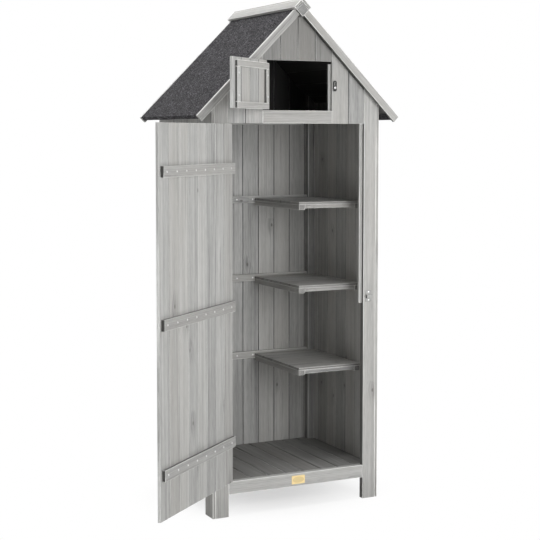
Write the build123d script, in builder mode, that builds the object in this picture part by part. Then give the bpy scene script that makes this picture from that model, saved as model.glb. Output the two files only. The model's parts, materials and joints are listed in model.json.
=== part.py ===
from build123d import *
import os
from math import cos, radians, sin, sqrt

# Garden shed of grey tongue-and-groove softwood with a felted saddle roof.
# Millimetres: +X to the right of the front, +Y to the back, +Z up. The origin is on the
# ground at the middle of the four feet. The door and the hatch stand open.

# Overall sizes
body_width = 654.0
body_depth = 496.0
ridge_height = 1790.0
gable_height = 430.0
foot_height = 78.5

# Corner boards and posts
corner_board_thickness = 11.0
corner_board_width = 66.0
post_width = 49.5
post_thickness = 22.0
rear_post_size = 28.0

# Wall boards and their tongue-and-groove joint
wall_thickness = 11.0
wall_inset = 5.0
side_board_count = 6
gable_board_count = 8
back_board_pitch = 66.5
back_edge_board = 31.0
joint_gap = 0.6
joint_bevel = 1.4
tongue_length = 4.5
tongue_thickness = 2.6
tongue_clearance = 0.4

# Sill, floor and loft
sill_height = 45.5
floor_thickness = 12.0
floor_board_count = 9
bearer_width = 20.0
loft_sill_height = 45.0
loft_bearer_height = 33.0
loft_bearer_width = 18.0
loft_thickness = 10.0

# Wall battens, by the drop of their middle lines under the shelf tops
batten_drop = 5.5
batten_height = 26.0
batten_thickness = 18.0

# Shelves, by the height of their tops
top_shelf_level = 1080.0
middle_shelf_level = 779.0
low_shelf_level = 480.0
shelf_left = 57.0
shelf_setback = 100.0
shelf_board_thickness = 9.5
shelf_board_count = 5
shelf_rail_width = 24.0
shelf_rail_height = 18.5
shelf_front_rail = 18.0
shelf_front_rail_height = 13.0

# Roof: both slopes fall at 45 degrees
eave_reach = 392.0
felt_thickness = 2.0
felt_fold = 30.0
felt_setback = 2.0
deck_thickness = 12.0
deck_board_count = 8
deck_front_overhang = 16.0
deck_rear_overhang = 6.0
barge_face = 26.0
barge_lip = 1.0
barge_thickness = 12.0
ridge_beam_size = 34.0
ridge_projection = 9.0
cap_thickness = 10.0
cap_width = 46.0

# Door
door_angle = 139.6
door_thickness = 10.0
door_gap = 3.0
door_head_gap = 2.0
door_board_count = 8
ledge_top_inset = 150.0
ledge_middle_drop = 4.5
ledge_bottom_inset = 144.0
ledge_height = 36.0
ledge_thickness = 12.0
ledge_hinge_inset = 2.0
ledge_free_inset = 12.0
stop_width = 12.5
stop_gap = 1.0
stop_below_bolt = 25.0

# Hatch
hatch_angle = 141.0
hatch_opening_width = 270.6
hatch_headroom = 213.0
hatch_thickness = 10.0
hatch_gap = 2.5
hatch_board_count = 4
hatch_frame_width = 21.0
hatch_frame_thickness = 10.0
hatch_hinge_inset = 2.0
hatch_free_overlap = 19.0
hatch_top_overlap = 10.0
hatch_stop_reach = 9.0
hatch_stop_width = 21.0
hatch_stop_thickness = 11.0
hatch_stop_drop = 8.5

# Butt hinges, laid on the front faces
hinge_height = 50.0
hinge_leaf_width = 24.0
hinge_leaf_thickness = 1.5
hinge_screw_spacing = 30.0
hinge_screw_inset = 7.0
knuckle_radius = 3.2
knuckle_gap = 0.3
pin_radius = 1.6
pin_clearance = 0.05
pin_head_radius = 2.6
pin_head_height = 1.2
wood_clearance = 0.2
hatch_hinge_inset_z = 32.0

# Barrel bolt of the door and its keeper
bolt_drop = 1.5
bolt_throw = 43.0
bolt_radius = 3.0
bolt_clearance = 0.25
bolt_tip_setback = 22.0
bolt_plate_length = 124.0
bolt_plate_height = 30.0
bolt_plate_thickness = 1.5
bolt_plate_inset = 22.0
bolt_axis_height = 6.5
bolt_screw_inset = 6.0
guide_width = 10.0
guide_wall = 2.0
knob_radius = 4.5
knob_stem_radius = 2.8
knob_stem_length = 12.0
keeper_offset = 8.5
keeper_width = 24.0
keeper_height = 41.0
keeper_thickness = 1.6
keeper_clearance = 1.2
keeper_screw_inset = 6.0

# Turn button beside the hatch
button_width = 13.0
button_length = 38.0
button_thickness = 2.5
button_gap = 2.5
button_offset = 9.4
button_drop = 5.3
button_tail = 13.0
button_slot_width = 5.0
button_slot_length = 16.0
button_slot_margin = 3.5
button_pin_radius = 2.4
button_washer_radius = 5.0
button_head_height = 2.0

# Screws
screw_head_radius = 3.2
screw_head_height = 1.0
screw_shank_radius = 1.6
screw_clearance = 0.1
screw_bite = 6.5

# Blank plate with a raised oval rim, on the sill
plate_width = 52.0
plate_height = 30.0
plate_thickness = 1.2
plate_offset = 3.5
plate_corner = 3.0
plate_oval_margin = 4.0
plate_rim_width = 1.6
plate_rim_height = 0.6

# Places that follow from the sizes
front_y = -body_depth / 2
back_y = body_depth / 2
gable_inner_y = front_y + wall_thickness
back_inner_y = back_y - wall_thickness
post_back_y = front_y + post_thickness
corner_back_y = front_y + corner_board_width
corner_x = body_width / 2
post_outer_x = corner_x - corner_board_thickness
opening_x = post_outer_x - post_width
wall_outer_x = corner_x - wall_inset
wall_inner_x = wall_outer_x - wall_thickness
rear_post_x = wall_inner_x - rear_post_size
rear_post_y = back_inner_y - rear_post_size
sill_top = foot_height + sill_height
floor_bottom = sill_top - floor_thickness
door_head = ridge_height - gable_height
loft_bottom = door_head + loft_bearer_height
loft_top = loft_bottom + loft_thickness
hatch_x = hatch_opening_width / 2
hatch_sill = door_head + loft_sill_height
hatch_head = ridge_height - hatch_headroom
batten_front_y = back_inner_y - batten_thickness
left_batten_x = -wall_inner_x + batten_thickness
shelf_levels = {"top": top_shelf_level, "middle": middle_shelf_level, "low": low_shelf_level}
batten_levels = [level - batten_drop for level in shelf_levels.values()]
shelf_front_y = front_y + shelf_setback
shelf_back_y = batten_front_y - screw_head_height - screw_clearance

felt_apex = ridge_height - cap_thickness * sqrt(2)
slope_end = eave_reach * sqrt(2)
felt_end = slope_end - felt_setback
deck_end = felt_end - felt_thickness
deck_depth = felt_thickness + deck_thickness
beam_end = felt_thickness + ridge_beam_size
deck_front = front_y - deck_front_overhang
deck_back = back_y + deck_rear_overhang
barge_front = deck_front - barge_thickness
barge_back = deck_back + barge_thickness
ridge_front = barge_front - ridge_projection
ridge_back = barge_back + ridge_projection

pin_offset = knuckle_radius + wood_clearance
hinge_y = front_y - pin_offset
door_hinge_x = -opening_x + door_gap / 2
door_edge = door_gap / 2
door_free = 2 * opening_x - 3 * door_gap / 2
door_bottom = sill_top + door_gap
door_top = door_head - door_head_gap
door_middle = (door_bottom + door_top) / 2
door_inner = pin_offset + door_thickness
ledge_face = door_inner + ledge_thickness
ledge_levels = (door_top - ledge_top_inset, door_middle - ledge_middle_drop, door_bottom + ledge_bottom_inset)
hatch_hinge_x = -hatch_x + hatch_gap / 2
hatch_edge = hatch_gap / 2
hatch_free = 2 * hatch_x - 3 * hatch_gap / 2
hatch_bottom = hatch_sill + hatch_gap
hatch_top = hatch_head - hatch_gap
hatch_inner = pin_offset + hatch_thickness
hatch_face = hatch_inner + hatch_frame_thickness
hatch_levels = (hatch_bottom + hatch_hinge_inset_z, hatch_top - hatch_hinge_inset_z)
leaf_face = pin_offset - hinge_leaf_thickness
leaf_root = knuckle_radius + knuckle_gap

bolt_level = door_middle - bolt_drop
stop_bottom = bolt_level - stop_below_bolt
bolt_y = pin_offset - bolt_axis_height
bolt_plate_face = pin_offset - bolt_plate_thickness
bolt_plate_end = door_free - bolt_plate_inset
bolt_plate_start = bolt_plate_end - bolt_plate_length
guide_radius = bolt_radius + bolt_clearance
knob_space = bolt_throw + 2 * knob_stem_radius + 2 * knuckle_gap
front_guide_x = bolt_plate_end - 3 * guide_width / 2
rear_guide_x = front_guide_x - guide_width - knob_space
knob_x = rear_guide_x + guide_width / 2 + knuckle_gap + knob_stem_radius
bolt_tip = door_free - bolt_tip_setback
bolt_tail = rear_guide_x - guide_width / 2 - bolt_throw
keeper_x = opening_x + keeper_offset
keeper_reach = bolt_axis_height + bolt_radius + keeper_clearance
keeper_half = bolt_radius + keeper_clearance

button_x = hatch_x + button_offset
button_z = (hatch_sill + hatch_head) / 2 - button_drop
button_back_y = front_y - button_gap
button_front_y = button_back_y - button_thickness
button_hole_radius = button_pin_radius + screw_clearance


def slab(x_span, y_span, z_span, mode=Mode.ADD):
    """A square-edged piece between the given limits of the working plane."""
    middle = [(low + high) / 2 for low, high in (x_span, y_span, z_span)]
    size = [high - low for low, high in (x_span, y_span, z_span)]
    with Locations(tuple(middle)):
        Box(*size, mode=mode)


def equal_edges(low, high, count):
    """Edges of equal boards that fill a width."""
    return [low + (high - low) * index / count for index in range(count + 1)]


def ripped_edges(low, high, pitch, first):
    """Edges of boards laid from the high end, where the first and the last board are ripped down."""
    edges = [high, high - first]
    while edges[-1] - pitch > low + tongue_length:
        edges.append(edges[-1] - pitch)
    return sorted(edges + [low])


def tongue_boards(plane, edges, faces, length):
    """Tongue-and-groove boards, drawn in section on a plane and run along its normal."""
    near, far = faces
    middle = (near + far) / 2
    tongue = tongue_thickness / 2
    groove = tongue + tongue_clearance
    groove_depth = tongue_length + tongue_clearance
    last = len(edges) - 2
    with BuildSketch(plane) as section:
        for index in range(last + 1):
            left = edges[index] + (joint_gap / 2 if index > 0 else 0)
            right = edges[index + 1] - (joint_gap / 2 if index < last else 0)
            outline = [(left + joint_bevel, near), (right - joint_bevel, near), (right, near + joint_bevel)]
            if index < last:
                tip = right + tongue_length
                outline += [(right, middle - tongue), (tip, middle - tongue)]
                outline += [(tip, middle + tongue), (right, middle + tongue)]
            outline += [(right, far - joint_bevel), (right - joint_bevel, far)]
            outline += [(left + joint_bevel, far), (left, far - joint_bevel)]
            if index > 0:
                root = left + groove_depth
                outline += [(left, middle + groove), (root, middle + groove)]
                outline += [(root, middle - groove), (left, middle - groove)]
            outline += [(left, near + joint_bevel)]
            with BuildLine():
                Polyline(*outline, close=True)
            make_face()
    extrude(section.sketch, amount=length)


def middles(edges):
    """Middle lines of the boards between the edges."""
    return [(low + high) / 2 for low, high in zip(edges, edges[1:])]


def trim_to_roof():
    """Cut a wall or a post off under the roof boards and the ridge beam."""
    under = felt_apex - deck_depth * sqrt(2)
    beam_bottom = felt_apex - beam_end * sqrt(2)
    shoulder = (under - beam_bottom) / 2
    reach = body_width
    with BuildSketch(Plane.XZ) as air:
        with BuildLine():
            Polyline(
                (-reach, under - reach),
                (-shoulder, under - shoulder),
                (0, beam_bottom),
                (shoulder, under - shoulder),
                (reach, under - reach),
                (reach, 2 * ridge_height),
                (-reach, 2 * ridge_height),
                close=True,
            )
        make_face()
    extrude(air.sketch, amount=body_depth, both=True, mode=Mode.SUBTRACT)


def notch_for_posts(x, y_span):
    """Cut the room for a pair of posts out of both ends, from x outwards."""
    for side in (-1, 1):
        slab(sorted((side * x, side * body_width)), y_span, (0, ridge_height), Mode.SUBTRACT)


def slope(side, front, back):
    """Section plane of a roof slope: x runs down the slope and y stands out of it."""
    start = back if side > 0 else front
    return Plane(origin=(0, start, felt_apex), x_dir=(side, 0, -1), z_dir=(0, -side, 0))


def roof_board(side, down_span, out_span, front, back):
    """A board of a roof slope that runs from front to back."""
    with BuildSketch(slope(side, front, back)) as section:
        with Locations((sum(down_span) / 2, sum(out_span) / 2)):
            Rectangle(down_span[1] - down_span[0], out_span[1] - out_span[0])
    extrude(section.sketch, amount=back - front)


def hinged(axis_x, angle):
    """Working plane of a leaf: x runs from the hinge pin to the free edge, y points inwards."""
    turn = radians(angle)
    return Plane(origin=(axis_x, hinge_y, 0), x_dir=(cos(turn), -sin(turn), 0), z_dir=(0, 0, 1))


def screws(points, face, into, length):
    """Screws at (x, z) points of a working plane, driven from a face along y."""
    heads = [(x, face - into * screw_head_height / 2, z) for x, z in points]
    shanks = [(x, face + into * length / 2, z) for x, z in points]
    with Locations(*heads):
        Cylinder(screw_head_radius, screw_head_height, rotation=(90, 0, 0))
    with Locations(*shanks):
        Cylinder(screw_shank_radius, length, rotation=(90, 0, 0))


def screw_holes(points, face, into, depth):
    """Holes for those screws, from a face along y."""
    places = [(x, face + into * depth / 2, z) for x, z in points]
    with Locations(*places):
        Cylinder(screw_shank_radius + screw_clearance, depth, rotation=(90, 0, 0), mode=Mode.SUBTRACT)


def hinge_points(levels, side):
    """Screw points of the hinge leaves on one side of the pin."""
    x = side * (hinge_leaf_width - hinge_screw_inset)
    offset = hinge_screw_spacing / 2
    return [(x, level + step) for level in levels for step in (-offset, offset)]


def hinge_leaves(pin, levels, side, knuckles):
    """Hinge leaves with their knuckles, on one side of a pin at (x, y) of the working plane."""
    pin_x, pin_y = pin
    third = hinge_height / 3
    length = third - knuckle_gap
    root_x = pin_x + side * leaf_root
    tip_x = pin_x + side * hinge_leaf_width
    back = pin_y + pin_offset
    front = pin_y + leaf_face
    for level in levels:
        slab(sorted((root_x, tip_x)), (front, back), (level - hinge_height / 2, level + hinge_height / 2))
        for knuckle in knuckles:
            middle = level + knuckle * third
            slab(sorted((pin_x, root_x)), (front, back - wood_clearance),
                 (middle - length / 2, middle + length / 2))
            with Locations((pin_x, pin_y, middle)):
                Cylinder(knuckle_radius, length)
    with Locations(*[(pin_x, pin_y, level) for level in levels]):
        Cylinder(pin_radius + pin_clearance, 2 * hinge_height, mode=Mode.SUBTRACT)
    points = [(pin_x + x, z) for x, z in hinge_points(levels, side)]
    screw_holes(points, front, 1, hinge_leaf_thickness)


def save(builder, name):
    """Name a finished piece and write it."""
    builder.part.label = name
    export_step(builder.part, f"parts/{name}.step")


os.makedirs("parts", exist_ok=True)
door_plane = hinged(door_hinge_x, door_angle)
hatch_plane = hinged(hatch_hinge_x, hatch_angle)
leaf_screw_length = hinge_leaf_thickness + screw_bite
hole_depth = screw_bite + screw_clearance
door_leaf_points = [(door_hinge_x + x, z) for x, z in hinge_points(ledge_levels, -1)]
hatch_leaf_points = [(hatch_hinge_x + x, z) for x, z in hinge_points(hatch_levels, -1)]
keeper_step = keeper_height / 2 - keeper_screw_inset
keeper_points = [(keeper_x + keeper_width / 2, bolt_level + step) for step in (-keeper_step, keeper_step)]

# Corner posts and the boards outside them, which run down to the ground as feet
for side, name in ((-1, "left"), (1, "right")):
    with BuildPart() as front_post:
        slab(sorted((side * opening_x, side * post_outer_x)), (front_y, post_back_y), (0, ridge_height))
        trim_to_roof()
        screw_holes(door_leaf_points if side < 0 else keeper_points, front_y, 1, hole_depth)
    save(front_post, f"front_post_{name}")

    with BuildPart() as corner_board:
        slab(sorted((side * post_outer_x, side * corner_x)), (front_y, corner_back_y), (0, ridge_height))
        trim_to_roof()
    save(corner_board, f"corner_board_{name}")

    with BuildPart() as rear_post:
        slab(sorted((side * rear_post_x, side * wall_inner_x)), (rear_post_y, back_inner_y), (0, ridge_height))
        trim_to_roof()
    save(rear_post, f"rear_post_{name}")

# Wall boards
side_edges = equal_edges(corner_back_y, back_y, side_board_count)
for side, name in ((-1, "left"), (1, "right")):
    faces = (0, wall_thickness) if side < 0 else (-wall_thickness, 0)
    wall_plane = Plane(origin=(side * wall_inner_x, 0, foot_height), x_dir=(0, 1, 0), z_dir=(0, 0, 1))
    with BuildPart() as side_wall:
        tongue_boards(wall_plane, side_edges, faces, ridge_height - foot_height)
        trim_to_roof()
    save(side_wall, f"{name}_wall_boards")

back_edges = ripped_edges(-wall_inner_x, wall_inner_x, back_board_pitch, back_edge_board)
batten_points = [(x, level) for level in batten_levels for x in middles(back_edges)
                 if abs(x) < rear_post_x - screw_head_radius]
with BuildPart() as back_wall:
    tongue_boards(Plane((0, back_inner_y, foot_height)), back_edges, (0, wall_thickness), ridge_height)
    trim_to_roof()
    screw_holes(batten_points, back_inner_y, 1, hole_depth)
save(back_wall, "back_wall_boards")

# Battens that hold the wall boards together inside, with one screw to each back board
with BuildPart() as back_battens:
    for level in batten_levels:
        slab((-rear_post_x, rear_post_x), (batten_front_y, back_inner_y),
             (level - batten_height / 2, level + batten_height / 2))
    screw_holes(batten_points, batten_front_y, 1, batten_thickness)
save(back_battens, "back_wall_battens")

with BuildPart() as batten_screws:
    screws(batten_points, batten_front_y, 1, batten_thickness + screw_bite)
save(batten_screws, "batten_screws")

with BuildPart() as left_battens:
    for level in batten_levels:
        slab((-wall_inner_x, left_batten_x), (corner_back_y, rear_post_y),
             (level - batten_height / 2, level + batten_height / 2))
save(left_battens, "left_wall_battens")

# Sill, its blank plate, and the floor on its bearers
with BuildPart() as front_sill:
    slab((-opening_x, opening_x), (front_y, post_back_y), (foot_height, sill_top))
save(front_sill, "front_sill")

sill_middle = foot_height + sill_height / 2
plate_plane = Plane(origin=(plate_offset, front_y, sill_middle), x_dir=(1, 0, 0), z_dir=(0, -1, 0))
with BuildPart() as name_plate:
    with BuildSketch(plate_plane):
        RectangleRounded(plate_width, plate_height, plate_corner)
    extrude(amount=plate_thickness)
    with BuildSketch(plate_plane.offset(plate_thickness)):
        Ellipse(plate_width / 2 - plate_oval_margin, plate_height / 2 - plate_oval_margin)
        Ellipse(plate_width / 2 - plate_oval_margin - plate_rim_width,
                plate_height / 2 - plate_oval_margin - plate_rim_width, mode=Mode.SUBTRACT)
    extrude(amount=plate_rim_height)
save(name_plate, "name_plate")

with BuildPart() as side_bearers:
    for side in (-1, 1):
        slab(sorted((side * wall_inner_x, side * (wall_inner_x - bearer_width))), (post_back_y, rear_post_y),
             (foot_height, floor_bottom))
save(side_bearers, "floor_bearers_side")

with BuildPart() as cross_bearers:
    for start in (post_back_y, back_inner_y - bearer_width):
        slab((-rear_post_x, rear_post_x), (start, start + bearer_width), (foot_height, floor_bottom))
save(cross_bearers, "floor_bearers_cross")

floor_edges = equal_edges(-wall_inner_x, wall_inner_x, floor_board_count)
with BuildPart() as floor_boards:
    floor_plane = Plane(origin=(0, post_back_y, sill_top), x_dir=(1, 0, 0), z_dir=(0, 1, 0))
    tongue_boards(floor_plane, floor_edges, (0, floor_thickness), back_inner_y - post_back_y)
    notch_for_posts(rear_post_x, (rear_post_y, back_y))
save(floor_boards, "floor_boards")

# Loft floor over the door, on two bearers
with BuildPart() as loft_bearers:
    for start in (gable_inner_y, back_inner_y - loft_bearer_width):
        slab((-opening_x, opening_x), (start, start + loft_bearer_width), (door_head, loft_bottom))
save(loft_bearers, "loft_bearers")

with BuildPart() as loft_floor:
    loft_plane = Plane(origin=(0, gable_inner_y, loft_top), x_dir=(1, 0, 0), z_dir=(0, 1, 0))
    tongue_boards(loft_plane, floor_edges, (0, loft_thickness), back_inner_y - gable_inner_y)
    notch_for_posts(rear_post_x, (rear_post_y, back_y))
    notch_for_posts(opening_x, (front_y, post_back_y))
save(loft_floor, "loft_floor_boards")

# Front gable: boards beside and over the hatch, and a level board under it
gable_edges = {
    "left": equal_edges(-opening_x, -hatch_x, gable_board_count // 4),
    "right": equal_edges(hatch_x, opening_x, gable_board_count // 4),
    "top": equal_edges(-hatch_x, hatch_x, gable_board_count // 2),
}
for name, edges in gable_edges.items():
    base = hatch_head if name == "top" else door_head
    with BuildPart() as gable_boards:
        tongue_boards(Plane((0, front_y, base)), edges, (0, wall_thickness), ridge_height - base)
        trim_to_roof()
        if name == "left":
            screw_holes(hatch_leaf_points, front_y, 1, hole_depth)
        if name == "right":
            with Locations((button_x, front_y + hole_depth / 2, button_z)):
                Cylinder(button_hole_radius, hole_depth, rotation=(90, 0, 0), mode=Mode.SUBTRACT)
    save(gable_boards, f"gable_boards_{name}")

with BuildPart() as loft_sill:
    slab((-hatch_x, hatch_x), (front_y, gable_inner_y), (door_head, hatch_sill))
save(loft_sill, "loft_sill_board")

# Stops that the closed door and hatch rest against
with BuildPart() as door_stop:
    slab((opening_x - stop_width, opening_x), (front_y + door_thickness + stop_gap, post_back_y),
         (stop_bottom, door_head))
save(door_stop, "door_stop")

with BuildPart() as hatch_stop:
    slab((hatch_x - hatch_stop_reach, hatch_x - hatch_stop_reach + hatch_stop_width),
         (gable_inner_y, gable_inner_y + hatch_stop_thickness), (hatch_sill, hatch_head - hatch_stop_drop))
save(hatch_stop, "hatch_stop")

# Shelves on the right: boards laid from side to side on a frame of rails
for name, level in shelf_levels.items():
    board_bottom = level - shelf_board_thickness
    rail_span = (board_bottom - shelf_rail_height, board_bottom)
    with BuildPart() as shelf_boards:
        shelf_plane = Plane(origin=(shelf_left, 0, board_bottom), x_dir=(0, 1, 0), z_dir=(1, 0, 0))
        shelf_edges = equal_edges(shelf_front_y, shelf_back_y, shelf_board_count)
        tongue_boards(shelf_plane, shelf_edges, (0, shelf_board_thickness), wall_inner_x - shelf_left)
        notch_for_posts(rear_post_x, (rear_post_y, back_y))
    save(shelf_boards, f"shelf_boards_{name}")

    with BuildPart() as shelf_frame:
        slab((shelf_left, shelf_left + shelf_rail_width), (shelf_front_y, shelf_back_y), rail_span)
        slab((wall_inner_x - shelf_rail_width, wall_inner_x), (shelf_front_y, rear_post_y), rail_span)
        slab((shelf_left + shelf_rail_width + joint_gap, wall_inner_x - shelf_rail_width - joint_gap),
             (shelf_front_y, shelf_front_y + shelf_front_rail),
             (board_bottom - shelf_front_rail_height, board_bottom))
    save(shelf_frame, f"shelf_frame_{name}")

# Roof: a square beam on edge at the ridge, boards, folded felt, gable trims and ridge caps
with BuildPart() as ridge_beam:
    roof_board(1, (felt_thickness, beam_end), (-beam_end, -felt_thickness), ridge_front, ridge_back)
save(ridge_beam, "ridge_beam")

for side, name in ((-1, "left"), (1, "right")):
    cap_start = -cap_thickness if side > 0 else 0
    with BuildPart() as ridge_cap:
        roof_board(side, (cap_start, cap_width - cap_thickness), (0, cap_thickness), ridge_front, ridge_back)
    save(ridge_cap, f"ridge_cap_{name}")

    with BuildPart() as roof_deck:
        deck_edges = equal_edges(beam_end, deck_end, deck_board_count)
        for start, end in zip(deck_edges, deck_edges[1:]):
            roof_board(side, (start, end - joint_gap), (-deck_depth, -felt_thickness), deck_front, deck_back)
    save(roof_deck, f"roof_deck_{name}")

    felt_start = 0 if side > 0 else felt_thickness
    felt_depth = deck_depth + felt_thickness
    with BuildPart() as roof_felt:
        with BuildSketch(slope(side, deck_front, deck_back)):
            with BuildLine():
                Polyline(
                    (felt_start, 0),
                    (felt_end, 0),
                    (felt_end, -felt_depth),
                    (felt_end - felt_fold, -felt_depth),
                    (felt_end - felt_fold, -deck_depth),
                    (deck_end, -deck_depth),
                    (deck_end, -felt_thickness),
                    (felt_start, -felt_thickness),
                    close=True,
                )
            make_face()
        extrude(amount=deck_back - deck_front)
    save(roof_felt, f"roof_felt_{name}")

    for end, front, back in (("front", barge_front, deck_front), ("rear", deck_back, barge_back)):
        with BuildPart() as bargeboard:
            roof_board(side, (beam_end, slope_end), (barge_lip - barge_face, barge_lip), front, back)
        save(bargeboard, f"bargeboard_{end}_{name}")

# Hinges of the door and the hatch: leaves on the frame, with the pins
with BuildPart() as frame_hinges:
    for hinge_x, levels in ((door_hinge_x, ledge_levels), (hatch_hinge_x, hatch_levels)):
        hinge_leaves((hinge_x, hinge_y), levels, -1, (-1, 1))
save(frame_hinges, "frame_hinge_leaves")

with BuildPart() as hinge_pins:
    for hinge_x, levels in ((door_hinge_x, ledge_levels), (hatch_hinge_x, hatch_levels)):
        with Locations(*[(hinge_x, hinge_y, level) for level in levels]):
            Cylinder(pin_radius, hinge_height)
        for end in (-1, 1):
            height = end * (hinge_height + pin_head_height) / 2
            with Locations(*[(hinge_x, hinge_y, level + height) for level in levels]):
                Cylinder(pin_head_radius, pin_head_height)
save(hinge_pins, "hinge_pins")

with BuildPart() as frame_screws:
    screws(door_leaf_points + hatch_leaf_points, front_y - hinge_leaf_thickness, 1, leaf_screw_length)
    screws(keeper_points, front_y - keeper_thickness, 1, keeper_thickness + screw_bite)
save(frame_screws, "frame_screws")

# Door boards, the ledges across their inside and one screw from each ledge to each board
door_edges = equal_edges(door_edge, door_free, door_board_count)
last_ledge_screw = door_free - ledge_free_inset - 2 * screw_head_radius
ledge_points = [(min(x, last_ledge_screw), level) for level in ledge_levels for x in middles(door_edges)]
bolt_screw_step = bolt_plate_height / 2 - bolt_screw_inset
bolt_screw_ends = (bolt_plate_start + bolt_screw_inset, bolt_plate_end - bolt_screw_inset)
bolt_points = [(x, bolt_level + step) for x in bolt_screw_ends for step in (-bolt_screw_step, bolt_screw_step)]
with BuildPart(door_plane) as door_boards:
    tongue_boards(door_plane.offset(door_bottom), door_edges, (pin_offset, door_inner), door_top - door_bottom)
    screw_holes(ledge_points, door_inner, -1, hole_depth)
    screw_holes(hinge_points(ledge_levels, 1) + bolt_points, pin_offset, 1, hole_depth)
save(door_boards, "door_boards")

with BuildPart(door_plane) as door_ledges:
    for level in ledge_levels:
        slab((door_edge + ledge_hinge_inset, door_free - ledge_free_inset), (door_inner, ledge_face),
             (level - ledge_height / 2, level + ledge_height / 2))
    screw_holes(ledge_points, ledge_face, -1, ledge_thickness)
save(door_ledges, "door_ledges")

with BuildPart(door_plane) as ledge_screws:
    screws(ledge_points, ledge_face, -1, ledge_thickness + screw_bite)
save(ledge_screws, "door_ledge_screws")

with BuildPart(door_plane) as door_hinges:
    hinge_leaves((0, 0), ledge_levels, 1, (0,))
save(door_hinges, "door_hinge_leaves")

with BuildPart(door_plane) as door_screws:
    screws(hinge_points(ledge_levels, 1), leaf_face, 1, leaf_screw_length)
    screws(bolt_points, bolt_plate_face, 1, bolt_plate_thickness + screw_bite)
save(door_screws, "door_screws")

# Barrel bolt on the outside of the door, drawn back with its knob turned down, and its keeper on the post
with BuildPart(door_plane) as bolt_plate:
    slab((bolt_plate_start, bolt_plate_end), (bolt_plate_face, pin_offset),
         (bolt_level - bolt_plate_height / 2, bolt_level + bolt_plate_height / 2))
    guide_half = guide_radius + guide_wall
    for guide_x in (front_guide_x, rear_guide_x):
        slab((guide_x - guide_width / 2, guide_x + guide_width / 2), (bolt_y - guide_half, bolt_plate_face),
             (bolt_level - guide_half, bolt_level + guide_half))
        with Locations((guide_x, bolt_y, bolt_level)):
            Cylinder(guide_radius, 2 * guide_width, rotation=(0, 90, 0), mode=Mode.SUBTRACT)
    screw_holes(bolt_points, bolt_plate_face, 1, bolt_plate_thickness)
save(bolt_plate, "bolt_plate")

with BuildPart(door_plane) as bolt_rod:
    with Locations(((bolt_tail + bolt_tip) / 2, bolt_y, bolt_level)):
        Cylinder(bolt_radius, bolt_tip - bolt_tail, rotation=(0, 90, 0))
    with Locations((knob_x, bolt_y, bolt_level - knob_stem_length / 2)):
        Cylinder(knob_stem_radius, knob_stem_length)
    with Locations((knob_x, bolt_y, bolt_level - knob_stem_length)):
        Sphere(knob_radius)
save(bolt_rod, "bolt_rod")

with BuildPart() as bolt_keeper:
    keeper_span = (keeper_x, keeper_x + keeper_width)
    slab(keeper_span, (front_y - keeper_thickness, front_y),
         (bolt_level - keeper_height / 2, bolt_level + keeper_height / 2))
    slab(keeper_span, (front_y - keeper_reach - keeper_thickness, front_y),
         (bolt_level - keeper_half - keeper_thickness, bolt_level + keeper_half + keeper_thickness))
    slab(keeper_span, (front_y - keeper_reach, front_y), (bolt_level - keeper_half, bolt_level + keeper_half),
         Mode.SUBTRACT)
    screw_holes(keeper_points, front_y - keeper_thickness, 1, keeper_thickness)
save(bolt_keeper, "bolt_keeper")

# Turn button with its slotted arm, on a shouldered screw
with BuildPart() as turn_button:
    button_plane = Plane(origin=(button_x, button_back_y, button_z), x_dir=(1, 0, 0), z_dir=(0, -1, 0))
    arm_top = button_length - button_tail
    with BuildSketch(button_plane):
        with Locations((0, (arm_top - button_tail) / 2)):
            SlotOverall(button_length, button_width, rotation=90)
        with Locations((0, arm_top - button_slot_margin - button_slot_length / 2)):
            SlotOverall(button_slot_length, button_slot_width, rotation=90, mode=Mode.SUBTRACT)
        Circle(button_pin_radius + pin_clearance, mode=Mode.SUBTRACT)
    extrude(amount=button_thickness)
save(turn_button, "turn_button")

with BuildPart() as button_screw:
    head_back = button_front_y - screw_clearance
    with Locations((button_x, (head_back - button_head_height + front_y + screw_bite) / 2, button_z)):
        Cylinder(button_pin_radius, front_y + screw_bite - head_back + button_head_height, rotation=(90, 0, 0))
    with Locations((button_x, (button_back_y + front_y + screw_clearance) / 2, button_z)):
        Cylinder(button_washer_radius, button_gap - screw_clearance, rotation=(90, 0, 0))
    with Locations((button_x, head_back - button_head_height / 2, button_z)):
        Cylinder(button_washer_radius, button_head_height, rotation=(90, 0, 0))
save(button_screw, "turn_button_screw")

# Hatch boards, the frame across their inside and its fixings
hatch_edges = equal_edges(hatch_edge, hatch_free, hatch_board_count)
frame_start = hatch_edge + hatch_hinge_inset
frame_end = hatch_free - hatch_free_overlap
frame_top = hatch_top - hatch_top_overlap
stile_span = (hatch_bottom + hatch_frame_width, frame_top - hatch_frame_width)
stile_points = [(x, z) for x in (frame_start + hatch_frame_width / 2, frame_end - hatch_frame_width / 2)
                for z in (stile_span[0] + hatch_frame_width, stile_span[1] - hatch_frame_width)]
with BuildPart(hatch_plane) as hatch_boards:
    tongue_boards(hatch_plane.offset(hatch_bottom), hatch_edges, (pin_offset, hatch_inner),
                  hatch_top - hatch_bottom)
    screw_holes(stile_points, hatch_inner, -1, hole_depth)
    screw_holes(hinge_points(hatch_levels, 1), pin_offset, 1, hole_depth)
save(hatch_boards, "hatch_boards")

with BuildPart(hatch_plane) as hatch_frame:
    for low in (hatch_bottom, frame_top - hatch_frame_width):
        slab((frame_start, frame_end), (hatch_inner, hatch_face), (low, low + hatch_frame_width))
    for left in (frame_start, frame_end - hatch_frame_width):
        slab((left, left + hatch_frame_width), (hatch_inner, hatch_face),
             (stile_span[0] + joint_gap, stile_span[1] - joint_gap))
    screw_holes(stile_points, hatch_face, -1, hatch_frame_thickness)
save(hatch_frame, "hatch_frame")

with BuildPart(hatch_plane) as hatch_hinges:
    hinge_leaves((0, 0), hatch_levels, 1, (0,))
save(hatch_hinges, "hatch_hinge_leaves")

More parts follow.
